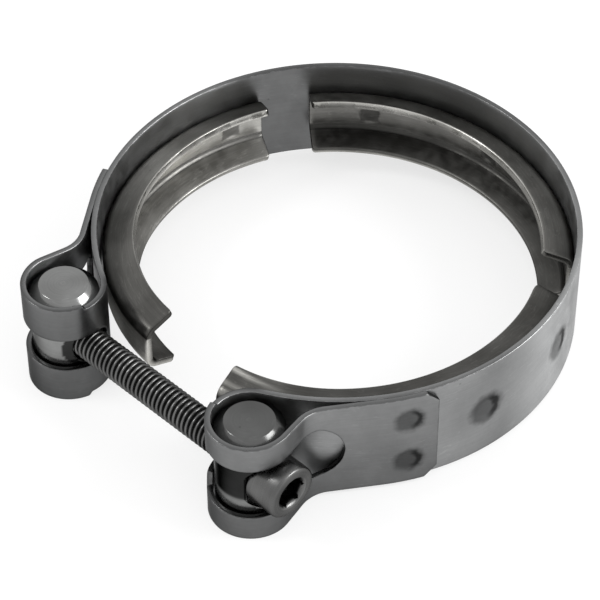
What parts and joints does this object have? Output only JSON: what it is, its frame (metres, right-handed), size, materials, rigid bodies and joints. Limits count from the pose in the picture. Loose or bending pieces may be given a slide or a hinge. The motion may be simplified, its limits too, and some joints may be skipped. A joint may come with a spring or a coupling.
{
  "type": "v-band pipe clamp",
  "caption": "V-section band clamp: retainers in a folded strap, drawn tight by a socket cap screw through barrel trunnions, to join two flanged pipes.",
  "frame": {"origin": "centre of the ring, on the middle plane of the flange groove", "axes": "+Z along the ring's axis, the screw along X on the -Y side with its head towards +X"},
  "size_m": [0.085, 0.0932, 0.0216],
  "materials": {
    "strap_steel": "satin stainless sheet",
    "retainer_steel": "pressed stainless sheet",
    "trunnion_steel": "turned bright",
    "screw_steel": "dull grey"
  },
  "bodies": {
    "clamp": {"strap": "strap_steel", "right_retainer": "retainer_steel", "left_retainer": "retainer_steel", "middle_retainer": "retainer_steel", "plain_trunnion": "trunnion_steel", "threaded_trunnion": "trunnion_steel"},
    "screw": {"cap_screw": "screw_steel"}
  },
  "joints": [
    {"name": "screw_turn", "type": "hinge", "parent": "clamp", "child": "screw", "pos_m": [0.0334, -0.04341, 0], "axis": [1, 0, 0], "continuous": true}
  ]
}
